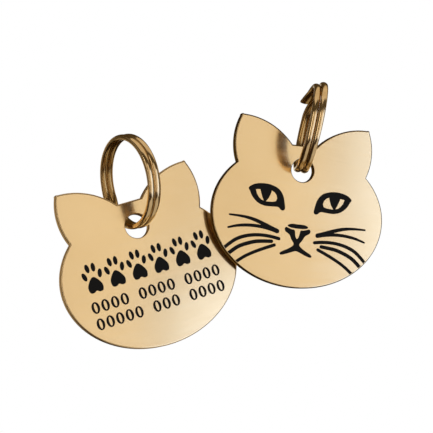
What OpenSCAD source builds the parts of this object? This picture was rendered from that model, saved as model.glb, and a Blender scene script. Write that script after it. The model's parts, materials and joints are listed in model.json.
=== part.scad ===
// Two cat-head pet tags of one kind, each on its own split ring. The front one shows
// the cat's face, and the turned one shows the rows engraved on its back.
// +X is to the right, +Y goes back and +Z is up. The origin is the centre of the
// front tag's ring.

/* [Tag plate] */
// Width of the head across the cheeks
head_w = 25.4; // [20:0.1:40]
// Height of the head above its widest line
crown_h = 10; // [8.5:0.1:16]
// Depth of the head below its widest line
chin_h = 10.2; // [8.5:0.1:16]
// Height of the flat forehead above the widest line
forehead_h = 9.9; // [9:0.1:16]
// Width of the flat forehead between the ears
forehead_w = 3.6; // [2:0.1:6]
// Height of the ear tips above the widest line
ear_h = 13.45; // [11:0.05:22]
// Distance between the ear tips
ear_span = 19.3; // [15:0.1:30]
// How far an ear's inner edge bulges out
ear_inner_bulge = 0.9; // [0.2:0.05:1.6]
// How far an ear's outer edge bulges out
ear_outer_bulge = 0.65; // [0.2:0.05:1.2]
// Length taken off an ear's point where it is rounded
ear_tip_cut = 0.4; // [0.1:0.05:0.9]
// Distance between the notches below the ears
notch_span = 19.35; // [15:0.05:19.4]
// Thickness of the plate
tag_t = 1.1; // [0.8:0.05:2]

/* [Hole for the ring] */
// Diameter of the hole
hole_d = 3.3; // [3.2:0.1:4.4]
// Height of the hole's centre above the widest line
hole_h = 6.4; // [6:0.1:7]

/* [Engraving] */
// Depth of the engraving
engrave_depth = 0.2; // [0.1:0.05:0.35]
// How far the black fill lies below the face
fill_drop = 0.05; // [0.02:0.01:0.08]
// Plain rim left between a whisker's end and the edge of the plate
rim_w = 0.2; // [0.1:0.05:0.6]
// Length of each row on the back
row_w = 19; // [14:0.1:19.4]
// Height of a paw print in the first row
paw_h = 4.3; // [3:0.1:4.6]
// Height of the first row's middle above the widest line
paw_row_h = 1.4; // [1:0.1:1.6]
// Height of a figure in the second and third rows
figure_h = 1.6; // [1:0.05:1.8]
// Depth of the second row's middle below the widest line
second_row_drop = 2.5; // [2.2:0.05:2.7]
// Depth of the third row's middle below the widest line
third_row_drop = 4.75; // [4.6:0.05:5.2]

/* [Split rings] */
// Outer diameter of a ring
ring_od = 12.9; // [12:0.1:16]
// Thickness of the flat wire, from the inside of the ring to its outside
wire_h = 0.8; // [0.6:0.05:1.1]
// Width of the flat wire, along the ring's axis
wire_w = 0.64; // [0.5:0.01:0.75]
// Space between the two turns
turn_gap = 0.42; // [0.41:0.01:0.5]
// How far the wire passes above the hole's centre
seat_rise = 0.1; // [0.05:0.01:0.3]

/* [Pose] */
// Turn of the front tag about the upright line
front_tag_yaw = 16; // [0:0.5:25]
// Lean of the front tag, backwards below zero
front_tag_pitch = -3.5; // [-8:0.5:4]
// Roll of the front tag in its own plane, clockwise above zero
front_tag_roll = 6.5; // [0:0.5:12]
// Turn of the turned tag about the upright line
turned_tag_yaw = 21; // [16:0.5:28]
// Lean of the turned tag, backwards below zero
turned_tag_pitch = -9.5; // [-14:0.5:-4]
// Roll of the turned tag in its own plane, clockwise above zero
turned_tag_roll = -15.5; // [-22:0.5:-8]
// Turn of the front ring about the upright line
front_ring_yaw = 2.5; // [0:0.5:10]
// Tilt of the front ring, its right side down above zero
front_ring_tilt = 12.5; // [6:0.5:16]
// Turn of the turned tag's ring about the upright line
turned_ring_yaw = 35.5; // [28:0.5:40]
// Tilt of the turned tag's ring, its right side down above zero
turned_ring_tilt = -8; // [-14:0.5:-4]
// How far the front tag's hole lies to the right of its ring's middle
front_side_shift = 0.2; // [0:0.05:0.3]
// How far the turned tag's hole lies to the right of its ring's middle
turned_side_shift = 0.25; // [0:0.05:0.35]
// Least space left where the front tag passes before the turned one
pair_gap = 0.3; // [0.2:0.05:3]

/* [Hidden] */

gold = "#dcb67b";
dark_gold = "#b08a4c";
black = "#1b1b20";

// The cut that opens a recess or a hole runs past the face by this much.
overrun = engrave_depth / 2;
head_r = head_w / 2;
ring_r = (ring_od - wire_h) / 2;
turn_pitch = wire_w + turn_gap;

// Places round a ring, in degrees from its lowest point towards the back.
front_hang_angle = 9;
turned_hang_angle = 2;
front_cut_angle = 131;
turned_cut_angle = 46;
// Length of the step from one turn to the other, and how far apart the cut ends are.
step_angle = 70;
cut_spread_angle = 24;

// The turned tag's hole lies to the left of the front tag's, lower and nearer.
pair_left_share = 0.903;
pair_down_share = 0.307;
pair_near_share = 0.3065;

hole_points = 48;
arc_steps = 12;
cheek_steps = 96;
ring_steps = 36;
wire_sides = 12;
wire_corner_share = 0.45;

// Outlines of the face, as shares of half the head's width from the middle of its
// widest line, for the side where x is above zero.
eye_shares = [[0.605, 0.243], [0.552, 0.284], [0.480, 0.304], [0.400, 0.308],
    [0.330, 0.297], [0.268, 0.273], [0.225, 0.235], [0.195, 0.183], [0.178, 0.120],
    [0.168, 0.060], [0.184, 0.035], [0.216, 0.038], [0.250, 0.065], [0.330, 0.063],
    [0.410, 0.063], [0.490, 0.090], [0.555, 0.148], [0.588, 0.205]];
outer_glint_shares = [[0.521, 0.232], [0.472, 0.239], [0.460, 0.203], [0.440, 0.152],
    [0.421, 0.119], [0.450, 0.126], [0.478, 0.149], [0.505, 0.184]];
inner_glint_shares = [[0.337, 0.238], [0.303, 0.221], [0.281, 0.195], [0.270, 0.158],
    [0.281, 0.127], [0.320, 0.115], [0.395, 0.112], [0.366, 0.153], [0.347, 0.200]];
nose_shares = [[0, -0.099], [0.060, -0.098], [0.102, -0.107], [0.121, -0.123],
    [0.102, -0.138], [0.055, -0.145], [0, -0.147], [-0.055, -0.145], [-0.102, -0.138],
    [-0.121, -0.123], [-0.102, -0.107], [-0.060, -0.098]];
half_mouth_shares = [[0, -0.260], [0.018, -0.236], [0.026, -0.200], [0.036, -0.165],
    [0.072, -0.159], [0.108, -0.148], [0.138, -0.141], [0.152, -0.163], [0.141, -0.190],
    [0.104, -0.213], [0.084, -0.233], [0.068, -0.267], [0.034, -0.319], [0.060, -0.354],
    [0.112, -0.386], [0.163, -0.412], [0.188, -0.435], [0.172, -0.452], [0.120, -0.439],
    [0.050, -0.412], [0, -0.397]];

// Each whisker is a line of points with its widths from the outer end to the inner
// one. The last three run off the plate.
whisker_shares = [
    [[0.795, -0.076], [0.700, -0.077], [0.600, -0.084], [0.500, -0.104], [0.400, -0.137],
        [0.300, -0.175], [0.235, -0.197]],
    [[0.797, -0.217], [0.700, -0.188], [0.600, -0.172], [0.500, -0.167], [0.400, -0.172],
        [0.300, -0.187], [0.235, -0.201]],
    [[0.868, -0.488], [0.800, -0.420], [0.700, -0.337], [0.600, -0.292], [0.500, -0.269],
        [0.400, -0.261], [0.300, -0.266], [0.208, -0.280]],
    [[0.828, -0.553], [0.750, -0.481], [0.650, -0.404], [0.500, -0.345], [0.400, -0.327],
        [0.290, -0.317]],
    [[0.720, -0.617], [0.600, -0.523], [0.500, -0.464], [0.400, -0.416], [0.300, -0.373],
        [0.254, -0.354]]];
whisker_width_shares = [[0.020, 0.030, 0.040, 0.046, 0.048], [0.022, 0.034, 0.037, 0.040, 0.048],
    [0.036, 0.040, 0.038, 0.038], [0.042, 0.043, 0.042, 0.040],
    [0.036, 0.036, 0.037, 0.037]];
whisker_cap_steps = 4;
spline_steps = 4;
whisker_steps = 3;

// A paw print, as shares of its height from its own middle.
pad_shares = [[0, 0.03], [0.12, -0.05], [0.24, -0.25], [0.215, -0.43], [0.10, -0.46],
    [0, -0.41], [-0.10, -0.46], [-0.215, -0.43], [-0.24, -0.25], [-0.12, -0.05]];
toe_place_shares = [[0.255, 0.09], [0.10, 0.32], [-0.10, 0.32], [-0.255, 0.09]];
toe_lean_angles = [-15, -5, 5, 15];
toe_size_share = [0.072, 0.14];
toe_points = 20;
paw_count = 6;
paw_w_share = 0.67;

// A plain nought, as shares of its height: half width and half height, outside and
// inside. The numbers of noughts in each group make the rows.
nought_outer_share = [0.36, 0.5];
nought_inner_share = [0.125, 0.37];
nought_points = 28;
second_row_groups = [4, 4, 4];
third_row_groups = [5, 3, 4];
space_share = 0.9;

// Points of a smooth line through the given points.
function blend_point(a, b, c, d, t) =
    (2 * b + (c - a) * t + (2 * a - 5 * b + 4 * c - d) * t * t
    + (3 * b - a - 3 * c + d) * t * t * t) / 2;
function open_line(p, steps) = [
    for (i = [0 : len(p) - 2], k = [0 : steps - 1])
        blend_point(p[max(i - 1, 0)], p[i], p[i + 1], p[min(i + 2, len(p) - 1)], k / steps),
    p[len(p) - 1]];
function closed_line(p, steps) = let (n = len(p)) [
    for (i = [0 : n - 1], k = [0 : steps - 1])
        blend_point(p[(i + n - 1) % n], p[i], p[(i + 1) % n], p[(i + 2) % n], k / steps)];

// Points of an arc from p to q that bulges to the left of the way from p to q.
function arc_line(p, q, bulge, steps) =
    let (
        half = norm(q - p) / 2,
        r = (half * half + bulge * bulge) / (2 * bulge),
        left = [p[1] - q[1], q[0] - p[0]] / norm(q - p),
        c = (p + q) / 2 - left * (r - bulge),
        start = atan2(p[1] - c[1], p[0] - c[0]),
        end = atan2(q[1] - c[1], q[0] - c[0]),
        turn = (end - start + 540) % 360 - 180)
    [for (i = [0 : steps]) let (a = start + turn * i / steps) c + r * [cos(a), sin(a)]];
function towards(p, q, distance) = p + (q - p) / norm(q - p) * distance;
function mirrored(p) = [for (i = [len(p) - 1 : -1 : 0]) [-p[i][0], p[i][1]]];
function scaled(shares, size) = [for (s = shares) s * size];
function oval(half_w, half_h, points) = [
    for (i = [0 : points - 1]) let (a = 360 * i / points) [half_w * cos(a), half_h * sin(a)]];
function cheek_point(a, inset) =
    [(head_r - inset) * cos(a), (sin(a) > 0 ? crown_h - inset : chin_h - inset) * sin(a)];

// Outline of the plate, clockwise from the right end of the forehead.
notch_angle = acos(notch_span / head_w);
notch = cheek_point(notch_angle, 0);
brow = [forehead_w / 2, forehead_h];
ear_tip = [ear_span / 2, ear_h];
tip_inner = towards(ear_tip, brow, ear_tip_cut);
tip_outer = towards(ear_tip, notch, ear_tip_cut);
tip_steps = 4;
tip_bulge_share = 0.4;
right_ear = [
    each arc_line(brow, tip_inner, ear_inner_bulge, arc_steps),
    each arc_line(tip_inner, tip_outer, ear_tip_cut * tip_bulge_share, tip_steps),
    each arc_line(tip_outer, notch, ear_outer_bulge, arc_steps)];
cheek_turn = 180 + 2 * notch_angle;
cheeks = [
    for (i = [1 : cheek_steps - 1]) cheek_point(notch_angle - cheek_turn * i / cheek_steps, 0)];
plate_outline = [each right_ear, each cheeks, each mirrored(right_ear)];
whisker_limit = [
    for (i = [0 : cheek_steps - 1]) cheek_point(360 * i / cheek_steps, rim_w)];

// A tapering line of ink with rounded ends, as the points round its edge.
function width_at(widths, t) =
    let (k = t * (len(widths) - 1), i = min(floor(k), len(widths) - 2))
    widths[i] * (i + 1 - k) + widths[i + 1] * (k - i);
function way_at(line, i) =
    let (d = line[min(i + 1, len(line) - 1)] - line[max(i - 1, 0)]) d / norm(d);
function side_of(way) = [-way[1], way[0]];
function cap(line, i, r, sign) =
    let (way = way_at(line, i), side = side_of(way))
    [for (k = [1 : whisker_cap_steps - 1]) let (a = 180 * k / whisker_cap_steps)
        line[i] + r * sign * (side * cos(a) + way * sin(a))];
function ink_outline(line, widths) =
    let (last = len(line) - 1, r = [for (i = [0 : last]) width_at(widths, i / last) / 2])
    [for (i = [0 : last]) line[i] + side_of(way_at(line, i)) * r[i],
        each cap(line, last, r[last], 1),
        for (i = [last : -1 : 0]) line[i] - side_of(way_at(line, i)) * r[i],
        each cap(line, 0, r[0], -1)];

module eye_shape() {
    difference() {
        polygon(scaled(closed_line(eye_shares, spline_steps), head_r));
        polygon(scaled(outer_glint_shares, head_r));
        polygon(scaled(inner_glint_shares, head_r));
    }
}

module nose_shape() {
    polygon(scaled(closed_line(nose_shares, spline_steps), head_r));
}

module mouth_shape() {
    inner = [for (i = [1 : len(half_mouth_shares) - 2]) half_mouth_shares[i]];
    first = half_mouth_shares[0];
    last = half_mouth_shares[len(half_mouth_shares) - 1];
    polygon(scaled(closed_line([first, each inner, last, each mirrored(inner)], spline_steps),
        head_r));
}

module whisker_shape() {
    intersection() {
        polygon(whisker_limit);
        union() {
            for (i = [0 : len(whisker_shares) - 1])
                polygon(ink_outline(scaled(open_line(whisker_shares[i], whisker_steps), head_r),
                    scaled(whisker_width_shares[i], head_r)));
        }
    }
}

module paw_shape() {
    polygon(scaled(closed_line(pad_shares, spline_steps), paw_h));
    for (i = [0 : len(toe_place_shares) - 1])
        translate(toe_place_shares[i] * paw_h) rotate(toe_lean_angles[i])
            polygon(oval(toe_size_share[0] * paw_h, toe_size_share[1] * paw_h, toe_points));
}

// Six paw prints, spread over the row.
module paw_row_shape() {
    span = row_w - paw_w_share * paw_h;
    for (i = [0 : paw_count - 1])
        translate([span * (i / (paw_count - 1) - 0.5), paw_row_h]) paw_shape();
}

module nought_shape() {
    difference() {
        polygon(oval(nought_outer_share[0] * figure_h, nought_outer_share[1] * figure_h,
            nought_points));
        polygon(oval(nought_inner_share[0] * figure_h, nought_inner_share[1] * figure_h,
            nought_points));
    }
}

function sum_to(list, n) = n <= 0 ? 0 : list[n - 1] + sum_to(list, n - 1);

// Groups of noughts, spread over the row with a wider space between the groups.
module nought_row_shape(groups) {
    count = sum_to(groups, len(groups));
    half_nought = nought_outer_share[0] * figure_h;
    step = (row_w - 2 * half_nought) / (count - 1 + space_share * (len(groups) - 1));
    for (g = [0 : len(groups) - 1], k = [0 : groups[g] - 1])
        translate([half_nought - row_w / 2 + step * (sum_to(groups, g) + k + space_share * g), 0])
            nought_shape();
}

module second_row_shape() {
    translate([0, -second_row_drop]) nought_row_shape(second_row_groups);
}

module third_row_shape() {
    translate([0, -third_row_drop]) nought_row_shape(third_row_groups);
}

module face_shapes() {
    eye_shape();
    mirror([1, 0]) eye_shape();
    nose_shape();
    mouth_shape();
    whisker_shape();
    mirror([1, 0]) whisker_shape();
}

module back_shapes() {
    paw_row_shape();
    second_row_shape();
    third_row_shape();
}

// A cut into the face, and the fill that lies in it a little below the surface.
module face_cut() {
    translate([0, 0, tag_t / 2 - engrave_depth])
        linear_extrude(height = engrave_depth + overrun) children();
}

module face_fill() {
    translate([0, 0, tag_t / 2 - engrave_depth])
        linear_extrude(height = engrave_depth - fill_drop) children();
}

// The same on the back, read from behind.
module on_back() {
    rotate([0, 180, 0]) children();
}

// The plate stands in for both tags: the face looks along +Z here.
module plate() {
    color(gold) difference() {
        linear_extrude(height = tag_t, center = true) polygon(plate_outline);
        translate([0, hole_h, 0])
            cylinder(d = hole_d, h = tag_t + 2 * overrun, center = true, $fn = hole_points);
        face_cut() face_shapes();
        on_back() face_cut() back_shapes();
    }
}

module left_eye() {
    color(black) face_fill() mirror([1, 0]) eye_shape();
}

module right_eye() {
    color(black) face_fill() eye_shape();
}

module nose() {
    color(black) face_fill() nose_shape();
}

module mouth() {
    color(black) face_fill() mouth_shape();
}

module left_whiskers() {
    color(black) face_fill() mirror([1, 0]) whisker_shape();
}

module right_whiskers() {
    color(black) face_fill() whisker_shape();
}

module paw_row() {
    color(black) on_back() face_fill() paw_row_shape();
}

module second_row() {
    color(black) on_back() face_fill() second_row_shape();
}

module third_row() {
    color(black) on_back() face_fill() third_row_shape();
}

// One wire wound twice round, as its rings of points. It starts at its cut end on the
// first turn, steps over to the second turn as it passes that end, and stops a little
// before the place where the step began. The step pushes both cut ends outwards, so the
// turns stay one pitch apart all the way. Angles run from the ring's lowest point to
// the back.
wire_turn = 720 - cut_spread_angle;
wire_stations = round(wire_turn * ring_steps / 360);
step_middle = 360 - cut_spread_angle / 2;
function eased(t) = let (u = min(max(t, 0), 1)) u * u * (3 - 2 * u);
function stepped(a) = eased((a - step_middle) / step_angle + 1 / 2);
function turn_offset(a) =
    turn_pitch * (stepped(a) + stepped(a - 360) + stepped(a + 360) - 3 / 2);
function rounded_section(i) =
    let (
        a = 360 * (i + 0.5) / wire_sides,
        x = sign(cos(a)) * pow(abs(cos(a)), wire_corner_share),
        y = sign(sin(a)) * pow(abs(sin(a)), wire_corner_share))
    [x * wire_w / 2, y * wire_h / 2];
function station(a, start) = [
    for (i = [0 : wire_sides - 1])
        let (s = rounded_section(i), r = ring_r + s[1], b = start + a)
        [turn_offset(a) + s[0], r * sin(b), -r * cos(b)]];

module split_ring(start) {
    stations = [for (k = [0 : wire_stations]) station(wire_turn * k / wire_stations, start)];
    faces = [
        [for (i = [0 : wire_sides - 1]) i],
        for (k = [0 : wire_stations - 1], i = [0 : wire_sides - 1])
            let (
                a = k * wire_sides + i,
                b = k * wire_sides + (i + 1) % wire_sides,
                c = b + wire_sides,
                d = a + wire_sides)
            each [[a, d, b], [b, d, c]],
        [for (i = [wire_sides - 1 : -1 : 0]) wire_stations * wire_sides + i]];
    least = min([
        for (k = [0 : wire_stations - ring_steps + 3],
            j = [k + ring_steps - 3 : min(k + ring_steps + 3, wire_stations)],
            p = stations[k], q = stations[j]) norm(p - q)]);
    echo(str("least gap between the turns of a split ring, mm: ", least));
    color(dark_gold) polyhedron([for (s = stations) each s], faces);
}

// Where the tags and rings hang. A hole hangs on its ring's wire.
function turned_point(p, tilt, yaw) =
    let (x = p[0] * cos(tilt) + p[2] * sin(tilt), z = p[2] * cos(tilt) - p[0] * sin(tilt))
    [x * cos(yaw) - p[1] * sin(yaw), x * sin(yaw) + p[1] * cos(yaw), z];
hang_r = ring_r + seat_rise;
function hang_point(shift, angle, tilt, yaw) =
    turned_point([shift, hang_r * sin(angle), -hang_r * cos(angle)], tilt, yaw);
front_hole_at =
    hang_point(front_side_shift, front_hang_angle, front_ring_tilt, front_ring_yaw);
turned_hole_at = front_hole_at
    + [-pair_left_share * head_w, tag_t + pair_gap - pair_near_share * head_w,
        -pair_down_share * head_w];
turned_ring_at = turned_hole_at
    - hang_point(turned_side_shift, turned_hang_angle, turned_ring_tilt, turned_ring_yaw);
echo(str("front tag's hole, mm: ", front_hole_at));
echo(str("turned tag's hole, mm: ", turned_hole_at));
echo(str("turned tag's ring, mm: ", turned_ring_at));

module hang_front_tag() {
    translate(front_hole_at) rotate([0, 0, front_tag_yaw]) rotate([front_tag_pitch, 0, 0])
        rotate([0, front_tag_roll, 0]) rotate([90, 0, 0]) translate([0, -hole_h, 0]) children();
}

module hang_turned_tag() {
    translate(turned_hole_at) rotate([0, 0, turned_tag_yaw]) rotate([turned_tag_pitch, 0, 0])
        rotate([0, turned_tag_roll, 0]) rotate([90, 0, 180])
        translate([0, -hole_h, 0]) children();
}

module front_ring() {
    rotate([0, front_ring_tilt, front_ring_yaw]) split_ring(front_cut_angle);
}

module turned_ring() {
    translate(turned_ring_at) rotate([0, turned_ring_tilt, turned_ring_yaw])
        split_ring(turned_cut_angle);
}

hang_front_tag() plate();  // front_tag_plate
hang_front_tag() left_eye();  // front_tag_left_eye
hang_front_tag() right_eye();  // front_tag_right_eye
hang_front_tag() nose();  // front_tag_nose
hang_front_tag() mouth();  // front_tag_mouth
hang_front_tag() left_whiskers();  // front_tag_left_whiskers
hang_front_tag() right_whiskers();  // front_tag_right_whiskers
hang_front_tag() paw_row();  // front_tag_paw_row
hang_front_tag() second_row();  // front_tag_second_row
hang_front_tag() third_row();  // front_tag_third_row
front_ring();  // front_split_ring
hang_turned_tag() plate();  // turned_tag_plate
hang_turned_tag() left_eye();  // turned_tag_left_eye
hang_turned_tag() right_eye();  // turned_tag_right_eye
hang_turned_tag() nose();  // turned_tag_nose
hang_turned_tag() mouth();  // turned_tag_mouth
hang_turned_tag() left_whiskers();  // turned_tag_left_whiskers
hang_turned_tag() right_whiskers();  // turned_tag_right_whiskers
hang_turned_tag() paw_row();  // turned_tag_paw_row
hang_turned_tag() second_row();  // turned_tag_second_row
hang_turned_tag() third_row();  // turned_tag_third_row
turned_ring();  // turned_split_ring
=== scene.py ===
# Two cat-head pet tags on split rings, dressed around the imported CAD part.
import json
import math

import bpy
from mathutils import Matrix, Vector


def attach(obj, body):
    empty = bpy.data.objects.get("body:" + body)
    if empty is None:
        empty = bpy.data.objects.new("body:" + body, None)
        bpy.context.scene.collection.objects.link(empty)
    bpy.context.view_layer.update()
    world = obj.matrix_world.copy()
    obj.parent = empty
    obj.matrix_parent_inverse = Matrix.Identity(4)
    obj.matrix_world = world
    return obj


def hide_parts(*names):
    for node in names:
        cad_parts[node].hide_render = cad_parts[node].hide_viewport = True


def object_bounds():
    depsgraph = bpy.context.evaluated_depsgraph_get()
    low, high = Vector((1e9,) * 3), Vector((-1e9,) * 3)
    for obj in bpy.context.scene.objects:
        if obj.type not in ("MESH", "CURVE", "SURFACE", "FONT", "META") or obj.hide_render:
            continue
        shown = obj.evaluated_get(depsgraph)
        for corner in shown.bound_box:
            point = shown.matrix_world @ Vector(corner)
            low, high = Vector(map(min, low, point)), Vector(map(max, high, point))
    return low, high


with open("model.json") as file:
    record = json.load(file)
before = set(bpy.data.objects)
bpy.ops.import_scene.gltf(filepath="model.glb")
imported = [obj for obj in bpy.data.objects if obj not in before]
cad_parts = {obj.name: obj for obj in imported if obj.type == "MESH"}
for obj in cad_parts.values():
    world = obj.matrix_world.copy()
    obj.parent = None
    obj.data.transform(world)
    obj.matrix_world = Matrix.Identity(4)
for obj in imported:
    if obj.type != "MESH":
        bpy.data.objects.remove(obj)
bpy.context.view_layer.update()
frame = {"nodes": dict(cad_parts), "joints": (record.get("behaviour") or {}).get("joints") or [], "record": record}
mm = 0.001

joints = {joint["name"]: joint for joint in frame["joints"]}
mounts = {mount["name"]: mount for mount in frame["record"]["mounts"]}

# a Mix node's sockets go by number, because its numbers and colours share their names
mixShare, mixNumberA, mixNumberB, mixColorA, mixColorB = 0, 2, 3, 6, 7
mixedNumber, mixedColor = 0, 2

usualNoise = {"From Min": 0.3, "From Max": 0.7}  # where most values of a noise pattern lie


# helpers for pieces
def selectOnly(piece):
    if bpy.context.object and bpy.context.object.mode != "OBJECT":
        bpy.ops.object.mode_set(mode="OBJECT")
    bpy.ops.object.select_all(action="DESELECT")
    bpy.context.view_layer.objects.active = piece
    piece.select_set(True)


def deselectMesh():
    bpy.ops.object.mode_set(mode="EDIT")
    bpy.ops.mesh.select_all(action="DESELECT")
    bpy.ops.object.mode_set(mode="OBJECT")


def mergeDoubles(distance):
    # points nearer than this many mm become one
    bpy.ops.object.mode_set(mode="EDIT")
    bpy.ops.mesh.select_all(action="SELECT")
    bpy.ops.mesh.remove_doubles(threshold=distance * mm)
    bpy.ops.object.mode_set(mode="OBJECT")


def dress(piece, material):
    piece.data.materials.clear()
    piece.data.materials.append(material)


# helpers for materials
def linearColor(hexText):
    # sRGB hex to the linear values that the sockets take
    values = [int(hexText[i:i + 2], 16) / 255 for i in (1, 3, 5)]
    return [v / 12.92 if v <= 0.04045 else ((v + 0.055) / 1.055) ** 2.4 for v in values] + [1.0]


def addNode(tree, kind, settings=None, inputs=None):
    # an input takes either a socket, which is linked to it, or a value
    node = tree.nodes.new(kind)
    for name, value in (settings or {}).items():
        setattr(node, name, value)
    for name, value in (inputs or {}).items():
        if isinstance(value, bpy.types.NodeSocket):
            tree.links.new(value, node.inputs[name])
        else:
            node.inputs[name].default_value = value
    return node


def newMaterial(name):
    material = bpy.data.materials.new(name)
    material.use_nodes = True
    material.node_tree.nodes.clear()
    return material, material.node_tree


def perMetre(size):
    # the scale of a pattern that repeats every so many mm
    return 1 / (size * mm)


def flatMapping(xAxis, zAxis, centre):
    # what a Mapping node takes to turn a piece flat about its own centre
    z = Vector(zAxis).normalized()
    x = (Vector(xAxis) - z * z.dot(Vector(xAxis))).normalized()
    back = Matrix((x, z.cross(x), z))
    return {"Rotation": back.to_euler(), "Location": -(back @ Vector(centre))}


# plates
sheet = {
    "color": "#E8D0A6",
    "shade": "#DDC191",  # where the lacquer is thicker
    "grazing": "#F0E2C0",
    "patch": 9,  # mm across such a place
    "patchNoise": (0.4, 0.7),  # part of the noise over which it thickens
    "patchShare": 0.3,  # how much of the shade shows at most
    "roughness": 0.15,
    "roughnessSpread": 0.025,
    "edgeRoughness": 0.36,
    "edgeDepth": (0.515, 0.547),  # mm from the plate's middle where the cut edge turns to face
    "lineLength": 7,  # mm, polishing lines
    "lineSpacing": 0.3,  # mm, drawn coarser than the real 0.05 mm to show
    "lineDepth": 0.0006,  # mm
}

plate = {
    "thickness": 1.1,  # mm, as in the CAD part
    "edgeRound": 0.22,  # mm, tumbled outer edge
    "roundSteps": 4,
    "holeRadius": 1.65,  # mm
    "holeRoundShare": 0.6,  # width of the hole's rounding, as a share of the outer edge's
    "fillDrop": 0.05,  # mm from the face down to the black fill
    "mergeDistance": 0.0005,  # mm
    "mergeAfterCuts": 0.0001,  # mm
    "smoothAngle": 35,  # degrees
}

# roll in degrees, and the colour of the cut edge: dark brown on the front tag, the browned cut edge
# deepened by painted shade, and brighter on the turned one as painted light
tagPoses = {
    "front_tag": {
        "piece": "frontTagPlate", "joint": "front_tag_swing", "roll": 6.5, "edge": "#4E3516"},
    "turned_tag": {
        "piece": "turnedTagPlate", "joint": "turned_tag_swing", "roll": -15.5,
        "edge": "#CBAD81"},
}


def makeSheetBrass(name, pose):
    # Brass sheet, polished and lacquered: a soft mirror with faint polishing lines, warmer where the lacquer
    # pools, and a duller cut edge, coloured with painted shade on the front tag and painted light on the turned
    # one
    material, tree = newMaterial(name)
    axis, centre = (Vector(joints[pose["joint"]][key]) for key in ("axis", "pos_m"))
    along = Matrix.Rotation(math.radians(pose["roll"]), 3, axis) @ Vector((1, 0, 0))
    place = addNode(tree, "ShaderNodeTexCoord")
    flat = addNode(tree, "ShaderNodeMapping", None,
                   {"Vector": place.outputs["Object"], **flatMapping(along, axis, centre)})

    # patches of thicker lacquer
    patches = addNode(tree, "ShaderNodeTexNoise", None,
                      {"Vector": flat.outputs["Vector"], "Scale": perMetre(sheet["patch"]),
                       "Detail": 2})
    pooled = addNode(tree, "ShaderNodeMapRange", None,
                     {"Value": patches.outputs["Fac"], "From Min": sheet["patchNoise"][0],
                      "From Max": sheet["patchNoise"][1], "To Min": 0.0,
                      "To Max": sheet["patchShare"]})
    faceColor = addNode(tree, "ShaderNodeMix", {"data_type": "RGBA"},
                        {mixShare: pooled.outputs["Result"],
                         mixColorA: linearColor(sheet["color"]),
                         mixColorB: linearColor(sheet["shade"])})

    # the cut edge starts a little below either face
    axes = addNode(tree, "ShaderNodeSeparateXYZ", None, {"Vector": flat.outputs["Vector"]})
    depth = addNode(tree, "ShaderNodeMath", {"operation": "ABSOLUTE"}, {0: axes.outputs["Z"]})
    low, high = (value * mm for value in sheet["edgeDepth"])
    edge = addNode(tree, "ShaderNodeMapRange", {"interpolation_type": "SMOOTHSTEP"},
                   {"Value": depth.outputs["Value"], "From Min": low, "From Max": high,
                    "To Min": 1.0, "To Max": 0.0})
    # the cut edge takes the tag's edge colour: painted shade on the front tag, painted light on the turned one
    color = addNode(tree, "ShaderNodeMix", {"data_type": "RGBA"},
                    {mixShare: edge.outputs["Result"], mixColorA: faceColor.outputs[mixedColor],
                     mixColorB: linearColor(pose["edge"])})

    # polishing lines run from left to right
    length, spacing = perMetre(sheet["lineLength"]), perMetre(sheet["lineSpacing"])
    stretched = addNode(tree, "ShaderNodeMapping", None,
                        {"Vector": flat.outputs["Vector"], "Scale": (length, spacing, length)})
    lines = addNode(tree, "ShaderNodeTexNoise", None,
                    {"Vector": stretched.outputs["Vector"], "Scale": 1.0, "Detail": 3})
    faceRoughness = addNode(tree, "ShaderNodeMapRange", None,
                            {"Value": lines.outputs["Fac"], **usualNoise,
                             "To Min": sheet["roughness"] - sheet["roughnessSpread"],
                             "To Max": sheet["roughness"] + sheet["roughnessSpread"]})
    roughness = addNode(tree, "ShaderNodeMix", {"data_type": "FLOAT"},
                        {mixShare: edge.outputs["Result"],
                         mixNumberA: faceRoughness.outputs["Result"],
                         mixNumberB: sheet["edgeRoughness"]})
    bump = addNode(tree, "ShaderNodeBump", None,
                   {"Height": lines.outputs["Fac"], "Strength": 1.0,
                    "Distance": sheet["lineDepth"] * mm})
    shader = addNode(tree, "ShaderNodeBsdfPrincipled", None,
                     {"Base Color": color.outputs[mixedColor], "Metallic": 1.0,
                      "Roughness": roughness.outputs[mixedNumber],
                      "Normal": bump.outputs["Normal"],
                      "Specular Tint": linearColor(sheet["grazing"])})
    addNode(tree, "ShaderNodeOutputMaterial", None, {"Surface": shader.outputs["BSDF"]})
    return material


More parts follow.
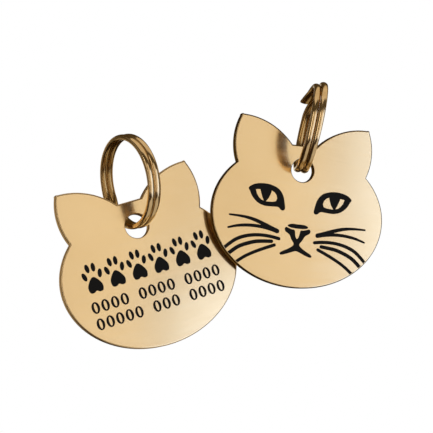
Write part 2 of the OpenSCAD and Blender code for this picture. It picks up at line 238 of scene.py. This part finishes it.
def makePlate(tag, pose):
    # The CAD plate's outline and hole, closed again with rounded edges, then engraved
    joint = joints[pose["joint"]]
    node = tag + "_plate"
    normal = Vector(joint["axis"]).normalized()
    middle = Vector(joint["pos_m"])
    half = plate["thickness"] / 2 * mm
    nearFace = 0.9 * half  # points past this belong to one side
    wholeWall = 1.9 * half  # walls taller than this run right through
    edgeRound = plate["edgeRound"] * mm
    holeEdge = 1.05 * edgeRound  # points nearer the hole than this are on its rounding
    drop = plate["fillDrop"] * mm
    fillTop = half - 1.5 * drop  # points past this are on top of a fill
    raised = 3 * drop

    def height(point):
        return (point - middle).dot(normal)

    piece = bpy.data.objects.new(pose["piece"], frame["nodes"][node].data.copy())
    bpy.context.scene.collection.objects.link(piece)
    selectOnly(piece)
    mesh = piece.data
    bpy.ops.mesh.customdata_custom_splitnormals_clear()
    mergeDoubles(plate["mergeDistance"])
    bpy.ops.object.mode_set(mode="EDIT")
    bpy.ops.mesh.select_all(action="DESELECT")
    bpy.ops.mesh.select_mode(type="FACE")
    bpy.ops.object.mode_set(mode="OBJECT")

    # only the walls that run right through stay
    for face in mesh.polygons:
        heights = [height(mesh.vertices[v].co) for v in face.vertices]
        upright = abs(face.normal.dot(normal)) < 0.5
        through = max(heights) - min(heights) > wholeWall
        face.select = not (upright and through)
    bpy.ops.object.mode_set(mode="EDIT")
    bpy.ops.mesh.delete(type="FACE")
    bpy.ops.mesh.select_mode(type="EDGE")
    bpy.ops.object.mode_set(mode="OBJECT")

    # each side is filled, sunk by the rounding and raised again in narrowing steps
    steps = plate["roundSteps"]
    for side in (1, -1):
        deselectMesh()
        for edge in mesh.edges:
            edge.select = all(height(mesh.vertices[v].co) * side > nearFace
                              for v in edge.vertices)
        bpy.ops.object.mode_set(mode="EDIT")
        bpy.ops.mesh.fill(use_beauty=True)
        bpy.ops.transform.translate(value=normal * -side * edgeRound)
        bpy.ops.mesh.select_mode(type="FACE")
        for step in range(steps):
            low, high = (math.pi / 2 * k / steps for k in (step, step + 1))
            bpy.ops.mesh.inset(
                thickness=edgeRound * (math.cos(low) - math.cos(high)),
                depth=edgeRound * (math.sin(high) - math.sin(low)), use_even_offset=True)
        bpy.ops.mesh.select_mode(type="EDGE")
        bpy.ops.object.mode_set(mode="OBJECT")

    # the hole's rounding is narrower than the outer edge's
    for vertex in mesh.vertices:
        out = vertex.co - middle - normal * height(vertex.co)
        past = out.length - plate["holeRadius"] * mm
        if past < holeEdge:
            vertex.co -= out.normalized() * past * (1 - plate["holeRoundShare"])

    # the engraving is cut with the shapes of its fills, their tops raised through the face
    for fill in frame["nodes"]:
        if not fill.startswith(tag) or fill == node:
            continue
        cutter = bpy.data.objects.new("cutter", frame["nodes"][fill].data.copy())
        bpy.context.scene.collection.objects.link(cutter)
        selectOnly(cutter)
        mergeDoubles(plate["mergeDistance"])
        side = 1 if height(cutter.data.vertices[0].co) > 0 else -1
        for vertex in cutter.data.vertices:
            if height(vertex.co) * side > fillTop:
                vertex.co += normal * side * raised
        cut = piece.modifiers.new("engraving", "BOOLEAN")
        cut.operation = "DIFFERENCE"
        cut.solver = "EXACT"
        cut.object = cutter
        selectOnly(piece)
        bpy.ops.object.modifier_apply(modifier=cut.name)
        bpy.data.objects.remove(cutter)

    # points that the cuts leave almost on each other become one
    mergeDoubles(plate["mergeAfterCuts"])

    # the rounded edge is shaded round, and the faces stay flat
    level = 0.999
    bpy.ops.object.shade_smooth_by_angle(angle=math.radians(plate["smoothAngle"]))
    for face in piece.data.polygons:
        if abs(face.normal.dot(normal)) > level:
            face.use_smooth = False
    dress(piece, makeSheetBrass(pose["piece"] + "Brass", pose))
    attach(piece, tag)
    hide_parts(node)
    print(pose["piece"], len(piece.data.polygons), "faces")


for tag, pose in tagPoses.items():
    makePlate(tag, pose)
print("plates made")


# rings
wire = {
    "color": "#DDC195",
    "shade": "#B99662",
    "grazing": "#F0E2C0",
    "tone": 1.4286,  # mm across a darker place
    "toneNoise": (0.4, 0.75),  # part of the noise over which it darkens
    "toneShare": 0.5,  # how much of the shade shows at most
    "roughness": 0.15,
    "roughnessSpread": (-0.03, 0.05),
    "lineSpacing": 0.4,  # mm, drawing lines along the wire, coarser than real to show
    "lineDepth": 0.0001,  # mm
    "inside": "#B08F5C",  # the inner face, duller than the rest and darker as painted shade inside the ring
    "insideRoughness": 0.2,
    "insideDepth": (0.12, 0.4),  # mm out from the inner face where the polish starts and the painted shade ends
}

ring = {
    "outsideDiameter": 12.9,  # mm
    "wireHeight": 0.8,  # mm, across the ring
    "wireWidth": 0.915,  # mm, along its axis
    "turnPitch": 0.92,  # mm from one turn to the next
    "crown": 0.18,  # mm that its outer and inner faces bulge
    "crownCuts": 8,
    "cornerRound": 0.08,  # mm
    "cornerSteps": 3,
    "endRound": 0.07,  # mm
    "endSteps": 3,
    "endAngle": 60,  # degrees, edges sharper than this are rounded
    "smoothAngle": 40,  # degrees
    "stationsPerTurn": 160,
    "stepAngle": 45,  # degrees that the wire takes to step over
    "stepLate": 6,  # degrees that the step lies past the middle of the cut
    "cutSpread": 9,  # degrees between the two cut ends
    "endReach": 60,  # degrees of the wire that bend away with its first end
    "endLength": 45,  # degrees of the wire that the cutter has flattened
    "endWide": 0.35,  # share that it is wider there
}

# degrees; and in mm, how much higher and further out the second turn lies than the first,
# and how far the first end is bent away
ringPoses = {
    "front_split_ring": {
        "piece": "frontSplitRing", "mount": "front_ring_eye", "yaw": 2.5, "tilt": 12.5,
        "cutAngle": 131.5, "lift": 0.24, "swell": 0.18, "endSpread": 0.2},
    "turned_split_ring": {
        "piece": "turnedSplitRing", "mount": "turned_ring_eye", "yaw": 35.5, "tilt": -8,
        "cutAngle": 46, "lift": 0.0, "swell": 0.0, "endSpread": 0.0},
}


def ringTurn(pose):
    return (Matrix.Rotation(math.radians(pose["yaw"]), 3, "Z")
            @ Matrix.Rotation(math.radians(pose["tilt"]), 3, "Y"))


def makeWireBrass(name, pose):
    # Flattened brass wire, drawn and tumbled: bright, with fine lines along the wire, duller on the inner face,
    # and darker there as painted shade inside the ring
    material, tree = newMaterial(name)
    turn = ringTurn(pose)
    place = addNode(tree, "ShaderNodeTexCoord")
    flat = addNode(tree, "ShaderNodeMapping", None,
                   {"Vector": place.outputs["Object"],
                    **flatMapping(turn @ Vector((0, 0, 1)), turn @ Vector((1, 0, 0)),
                                  mounts[pose["mount"]]["pos_m"])})

    # distance from the ring's axis, and along it
    axes = addNode(tree, "ShaderNodeSeparateXYZ", None, {"Vector": flat.outputs["Vector"]})
    inPlane = addNode(tree, "ShaderNodeCombineXYZ", None,
                      {"X": axes.outputs["X"], "Y": axes.outputs["Y"]})
    radius = addNode(tree, "ShaderNodeVectorMath", {"operation": "LENGTH"},
                     {0: inPlane.outputs["Vector"]})
    across = addNode(tree, "ShaderNodeCombineXYZ", None,
                     {"X": radius.outputs["Value"], "Y": axes.outputs["Z"]})

    tones = addNode(tree, "ShaderNodeTexNoise", None,
                    {"Vector": place.outputs["Object"], "Scale": perMetre(wire["tone"]),
                     "Detail": 2})
    darker = addNode(tree, "ShaderNodeMapRange", None,
                     {"Value": tones.outputs["Fac"], "From Min": wire["toneNoise"][0],
                      "From Max": wire["toneNoise"][1], "To Min": 0.0,
                      "To Max": wire["toneShare"]})
    outerColor = addNode(tree, "ShaderNodeMix", {"data_type": "RGBA"},
                         {mixShare: darker.outputs["Result"],
                          mixColorA: linearColor(wire["color"]),
                          mixColorB: linearColor(wire["shade"])})

    # the inner face, darker as painted shade inside the ring, and duller
    low, high = ((ring["outsideDiameter"] / 2 - ring["wireHeight"] + depth) * mm
                 for depth in wire["insideDepth"])
    inside = addNode(tree, "ShaderNodeMapRange", {"interpolation_type": "SMOOTHSTEP"},
                     {"Value": radius.outputs["Value"], "From Min": low, "From Max": high,
                      "To Min": 1.0, "To Max": 0.0})
    color = addNode(tree, "ShaderNodeMix", {"data_type": "RGBA"},
                    {mixShare: inside.outputs["Result"],
                     mixColorA: outerColor.outputs[mixedColor],
                     mixColorB: linearColor(wire["inside"])})

    # drawing lines
    lines = addNode(tree, "ShaderNodeTexNoise", None,
                    {"Vector": across.outputs["Vector"], "Scale": perMetre(wire["lineSpacing"]),
                     "Detail": 2})
    smoother, rougher = (wire["roughness"] + spread for spread in wire["roughnessSpread"])
    outerRoughness = addNode(tree, "ShaderNodeMapRange", None,
                             {"Value": lines.outputs["Fac"], **usualNoise,
                              "To Min": smoother, "To Max": rougher})
    roughness = addNode(tree, "ShaderNodeMix", {"data_type": "FLOAT"},
                        {mixShare: inside.outputs["Result"],
                         mixNumberA: outerRoughness.outputs["Result"],
                         mixNumberB: wire["insideRoughness"]})
    bump = addNode(tree, "ShaderNodeBump", None,
                   {"Height": lines.outputs["Fac"], "Strength": 1.0,
                    "Distance": wire["lineDepth"] * mm})
    shader = addNode(tree, "ShaderNodeBsdfPrincipled", None,
                     {"Base Color": color.outputs[mixedColor], "Metallic": 1.0,
                      "Roughness": roughness.outputs[mixedNumber],
                      "Normal": bump.outputs["Normal"],
                      "Specular Tint": linearColor(wire["grazing"])})
    addNode(tree, "ShaderNodeOutputMaterial", None, {"Surface": shader.outputs["BSDF"]})
    return material


def eased(share):
    u = min(max(share, 0), 1)
    return u * u * (3 - 2 * u)


def windOffset(turned):
    # mm from the ring's middle along its axis, where the wire has turned so many degrees.
    # It steps over once in each turn, and the middle lies between its two turns
    middle = 360 - ring["cutSpread"] / 2 + ring["stepLate"]

    def stepped(angle):
        return eased((angle - middle) / ring["stepAngle"] + 0.5)
    return ring["turnPitch"] * (stepped(turned) + stepped(turned - 360)
                                + stepped(turned + 360) - 1.5)


def makeRing(node, pose):
    # One flat wire with rounded corners, wound twice round and stepped over at its cut ends
    width, tall = ring["wireWidth"] * mm, ring["wireHeight"] * mm
    radius = ring["outsideDiameter"] / 2 * mm - tall / 2
    wound = 2 * 360 - ring["cutSpread"]
    stations = round(wound * ring["stationsPerTurn"] / 360)

    # the wire's section
    bpy.ops.object.select_all(action="DESELECT")
    bpy.ops.mesh.primitive_plane_add(size=1)
    piece = bpy.context.object
    piece.name = pose["piece"]
    piece.data.name = pose["piece"]
    selectOnly(piece)
    bpy.ops.object.mode_set(mode="EDIT")
    bpy.ops.mesh.select_all(action="SELECT")
    bpy.ops.transform.resize(value=(width, tall, 1))
    bpy.ops.mesh.bevel(offset=ring["cornerRound"] * mm, segments=ring["cornerSteps"],
                       affect="VERTICES")
    bpy.ops.object.mode_set(mode="OBJECT")

    # its outer and inner sides bulge
    sideHeight = 0.499 * tall
    deselectMesh()
    for edge in piece.data.edges:
        edge.select = all(abs(piece.data.vertices[v].co.y) > sideHeight
                          for v in edge.vertices)
    bpy.ops.object.mode_set(mode="EDIT")
    bpy.ops.mesh.subdivide(number_cuts=ring["crownCuts"])
    bpy.ops.object.mode_set(mode="OBJECT")
    for vertex in piece.data.vertices:
        drop = ring["crown"] * mm * (2 * vertex.co.x / width) ** 2
        vertex.co.y -= math.copysign(drop, vertex.co.y)

    # stood up at the ring's foot and spun about the X axis
    piece.data.transform(Matrix.Translation((0, 0, -radius))
                         @ Matrix.Rotation(math.pi / 2, 4, "X"))
    sectionPoints = len(piece.data.vertices)
    bpy.ops.object.mode_set(mode="EDIT")
    bpy.ops.mesh.select_all(action="SELECT")
    bpy.ops.mesh.spin(steps=stations, angle=math.radians(wound), center=(0, 0, 0),
                      axis=(-1, 0, 0), use_auto_merge=False)
    bpy.ops.object.mode_set(mode="OBJECT")

    # the spin leaves the points in order along the wire, one section after another
    cut = Matrix.Rotation(math.radians(pose["cutAngle"]), 3, "X")
    for vertex in piece.data.vertices:
        turned = wound * (vertex.index // sectionPoints) / stations
        offset = windOffset(turned)
        later = min(max(offset / ring["turnPitch"], -0.5), 0.5)  # first turn to second
        bent = pose["endSpread"] * eased(1 - turned / ring["endReach"])
        flattened = ring["endWide"] * eased(1 - turned / ring["endLength"])
        outwards = Vector((0, vertex.co.y, vertex.co.z)).normalized()
        vertex.co += outwards * pose["swell"] * later * mm
        vertex.co.x = vertex.co.x * (1 + flattened) + (offset - bent) * mm
        vertex.co = cut @ vertex.co
        vertex.co.z += pose["lift"] * later * mm
    bpy.ops.object.mode_set(mode="EDIT")
    bpy.ops.mesh.select_all(action="SELECT")
    bpy.ops.mesh.normals_make_consistent(inside=False)
    bpy.ops.object.mode_set(mode="OBJECT")

    # put in its place, and its cut ends rounded
    centre = Vector(mounts[pose["mount"]]["pos_m"])
    piece.data.transform(Matrix.Translation(centre) @ ringTurn(pose).to_4x4())
    rounded = piece.modifiers.new("roundedEnds", "BEVEL")
    rounded.width = ring["endRound"] * mm
    rounded.segments = ring["endSteps"]
    rounded.limit_method = "ANGLE"
    rounded.angle_limit = math.radians(ring["endAngle"])
    bpy.ops.object.modifier_apply(modifier=rounded.name)
    bpy.ops.object.shade_smooth_by_angle(angle=math.radians(ring["smoothAngle"]))
    dress(piece, makeWireBrass(pose["piece"] + "Brass", pose))
    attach(piece, "rings")
    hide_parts(node)
    print(pose["piece"], len(piece.data.polygons), "faces")


for node, pose in ringPoses.items():
    makeRing(node, pose)
print("rings made")


# paint in the engraving
paint = {
    "color": "#070605",
    "shade": "#0D0B09",
    "roughness": 0.45,
    "roughnessSpread": 0.08,
    "ior": 1.5,
    "shine": 0.07,  # specular level, far below gloss paint's 0.5 so that it stays black
    "grain": 0.25,  # mm
    "grainDepth": 0.004,  # mm
}


def makePaint():
    # Black paint wiped into the engraving and baked: a dull, slightly grainy black
    material, tree = newMaterial("bakedBlackPaint")
    place = addNode(tree, "ShaderNodeTexCoord")
    grain = addNode(tree, "ShaderNodeTexNoise", None,
                    {"Vector": place.outputs["Object"], "Scale": perMetre(paint["grain"]),
                     "Detail": 4})
    color = addNode(tree, "ShaderNodeMix", {"data_type": "RGBA"},
                    {mixShare: grain.outputs["Fac"], mixColorA: linearColor(paint["color"]),
                     mixColorB: linearColor(paint["shade"])})
    roughness = addNode(tree, "ShaderNodeMapRange", None,
                        {"Value": grain.outputs["Fac"], **usualNoise,
                         "To Min": paint["roughness"] - paint["roughnessSpread"],
                         "To Max": paint["roughness"] + paint["roughnessSpread"]})
    bump = addNode(tree, "ShaderNodeBump", None,
                   {"Height": grain.outputs["Fac"], "Strength": 1.0,
                    "Distance": paint["grainDepth"] * mm})
    shader = addNode(tree, "ShaderNodeBsdfPrincipled", None,
                     {"Base Color": color.outputs[mixedColor],
                      "Roughness": roughness.outputs["Result"],
                      "Normal": bump.outputs["Normal"], "IOR": paint["ior"],
                      "Specular IOR Level": paint["shine"]})
    addNode(tree, "ShaderNodeOutputMaterial", None, {"Surface": shader.outputs["BSDF"]})
    return material


# the CAD part's own fills stay and take the paint
blackPaint = makePaint()
for node, piece in frame["nodes"].items():
    if not node.endswith("plate") and not node.endswith("split_ring"):
        dress(piece, blackPaint)
print("engraving painted")


# floor, cards and backdrop
studio = {
    "floorColor": "#FFFFFF",
    "floorDrop": 690,  # mm below the lowest tag
    "floorSize": 6400,  # mm
    "backdropColor": "#FFFFFF",
    "backdropStrength": 1.0,
    "backdropWidth": (0.965, 0.99),  # how straight back metal has to look to see it, 1 is all
    "backdropTop": (0.12, 0.22),  # how steeply up it fades out, 1 is straight up
    "roomColor": "#4E4128",  # what metal sees of the dark room round the lights
    "lightDistance": 1200,  # mm from the tags to the softboxes
}

# cards that lie on the floor and show in the metal only: their ends to the left and right
# of the tags, in front of them and behind, height in mm, and colour
cards = {
    "tableFlag": {"sides": (-3000, 3000), "ends": (-3000, 3000), "high": 1, "color": "#2C2012"},
    "tableCard": {"sides": (-40, 970), "ends": (-625, 366), "high": 2, "color": "#B4AFA4"},
}

low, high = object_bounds()
middle = (low + high) / 2


def layBoard(name, color, wide, deep, place):
    bpy.ops.object.select_all(action="DESELECT")
    bpy.ops.mesh.primitive_plane_add(size=1)
    board = bpy.context.object
    board.name = name
    board.data.transform(Matrix.Translation(place) @ Matrix.Diagonal((wide, deep, 1, 1)))
    material, tree = newMaterial(name + "Card")
    shader = addNode(tree, "ShaderNodeBsdfDiffuse", None, {"Color": linearColor(color)})
    addNode(tree, "ShaderNodeOutputMaterial", None, {"Surface": shader.outputs["BSDF"]})
    dress(board, material)
    return board


floorSize = studio["floorSize"] * mm
floorHeight = low.z - studio["floorDrop"] * mm
layBoard("floor", studio["floorColor"], floorSize, floorSize, (middle.x, middle.y, floorHeight))
for name, card in cards.items():
    left, right, front, back = (value * mm for value in card["sides"] + card["ends"])
    board = layBoard(name, card["color"], right - left, back - front,
                     (middle.x + (left + right) / 2, middle.y + (front + back) / 2,
                      floorHeight + card["high"] * mm))
    board.visible_camera = False
    board.visible_diffuse = False
    board.visible_shadow = False

world = bpy.data.worlds.new("studio")
bpy.context.scene.world = world
world.use_nodes = True
tree = world.node_tree
tree.nodes.clear()

# metal sees the white backdrop straight behind the tags, and a dark warm room elsewhere
direction = addNode(tree, "ShaderNodeTexCoord")
axes = addNode(tree, "ShaderNodeSeparateXYZ", None, {"Vector": direction.outputs["Generated"]})
behind = addNode(tree, "ShaderNodeMapRange", {"interpolation_type": "SMOOTHSTEP"},
                 {"Value": axes.outputs["Y"], "From Min": studio["backdropWidth"][0],
                  "From Max": studio["backdropWidth"][1]})
below = addNode(tree, "ShaderNodeMapRange", {"interpolation_type": "SMOOTHSTEP"},
                {"Value": axes.outputs["Z"], "From Min": studio["backdropTop"][0],
                 "From Max": studio["backdropTop"][1], "To Min": 1.0, "To Max": 0.0})
backdrop = addNode(tree, "ShaderNodeMath", {"operation": "MULTIPLY"},
                   {0: behind.outputs["Result"], 1: below.outputs["Result"]})
inMetal = addNode(tree, "ShaderNodeMix", {"data_type": "RGBA"},
                  {mixShare: backdrop.outputs["Value"],
                   mixColorA: linearColor(studio["roomColor"]),
                   mixColorB: linearColor(studio["backdropColor"])})

# all but glossy rays meet plain white, so the background and the room's light are white
path = addNode(tree, "ShaderNodeLightPath")
seen = addNode(tree, "ShaderNodeMix", {"data_type": "RGBA"},
               {mixShare: path.outputs["Is Glossy Ray"],
                mixColorA: linearColor(studio["backdropColor"]),
                mixColorB: inMetal.outputs[mixedColor]})
background = addNode(tree, "ShaderNodeBackground", None,
                     {"Color": seen.outputs[mixedColor],
                      "Strength": studio["backdropStrength"]})
addNode(tree, "ShaderNodeOutputWorld", None, {"Surface": background.outputs["Background"]})
print("floor and backdrop laid")


# softboxes, placed for what the brass mirrors: from and to in degrees to the right of the
# camera, and above it, and brightness, where 1 is white
softboxes = {
    "leftBox": {"right": (-24, -9), "up": (-34, 42), "bright": 1.8, "color": "#FFF3E0"},
    "frontBox": {"right": (9.5, 35), "up": (-34, 36), "bright": 0.82, "color": "#FFF3E0"},
    "middleBox": {"right": (35, 39), "up": (-34, 36), "bright": 0.94, "color": "#FFF3E0"},
    "cornerBox": {"right": (39, 47), "up": (15, 35), "bright": 0.78, "color": "#FFF3E0"},
    "rightBox": {"right": (39, 75), "up": (-34, 15), "bright": 1.95, "color": "#D5E3FF"},
    "upperRightBox": {"right": (47, 75), "up": (15, 24), "bright": 1.95, "color": "#D5E3FF"},
    "topBox": {"right": (96, 148), "up": (36, 112), "bright": 0.75, "color": "#FFF3E0"},
    "backBox": {"right": (105, 155), "up": (-25, 25), "bright": 0.5, "color": "#FFF3E0"},
    "sideBox": {"right": (-152, -116), "up": (-42, 14), "bright": 0.5, "color": "#FFF3E0"},
    "farLeftBox": {"right": (-104, -50), "up": (-30, 40), "bright": 0.2, "color": "#FFF3E0"},
}

reach = studio["lightDistance"] * mm
for name, box in softboxes.items():
    right, up = (math.radians(sum(box[way]) / 2) for way in ("right", "up"))
    wide, tall = (math.radians(box[way][1] - box[way][0]) for way in ("right", "up"))
    away = Vector((math.sin(right) * math.cos(up), -math.cos(right) * math.cos(up),
                   math.sin(up)))
    lamp = bpy.data.lights.new(name, "AREA")
    lamp.shape = "RECTANGLE"
    lamp.color = linearColor(box["color"])[:3]
    lamp.size = 2 * reach * math.tan(wide / 2)
    lamp.size_y = 2 * reach * math.tan(tall / 2)
    lamp.energy = box["bright"] * math.pi * lamp.size * lamp.size_y
    holder = bpy.data.objects.new(name, lamp)
    bpy.context.scene.collection.objects.link(holder)
    holder.location = middle + away * reach
    holder.rotation_euler = (-away).to_track_quat("-Z", "Y").to_euler()
    holder.visible_camera = False
print("softboxes set up")


# camera
view = {
    "fromFrontHole": (-11.99, -165.89, -6.45),  # mm, where it stands from the front tag's hole
    "lens": 97.77,  # mm
    "sensor": 36,  # mm across
    "nearest": 1,  # mm
    "tilt": 90,  # degrees up from straight down
}

camera = bpy.data.cameras.new("camera")
camera.lens = view["lens"]
camera.sensor_width = view["sensor"]
camera.clip_start = view["nearest"] * mm
cameraHolder = bpy.data.objects.new("camera", camera)
bpy.context.scene.collection.objects.link(cameraHolder)
frontHole = Vector(joints["front_tag_swing"]["pos_m"])
cameraHolder.location = frontHole + Vector(view["fromFrontHole"]) * mm
cameraHolder.rotation_euler = (math.radians(view["tilt"]), 0, 0)
bpy.context.scene.camera = cameraHolder
bpy.context.scene.view_settings.view_transform = "Standard"
print("camera set up")
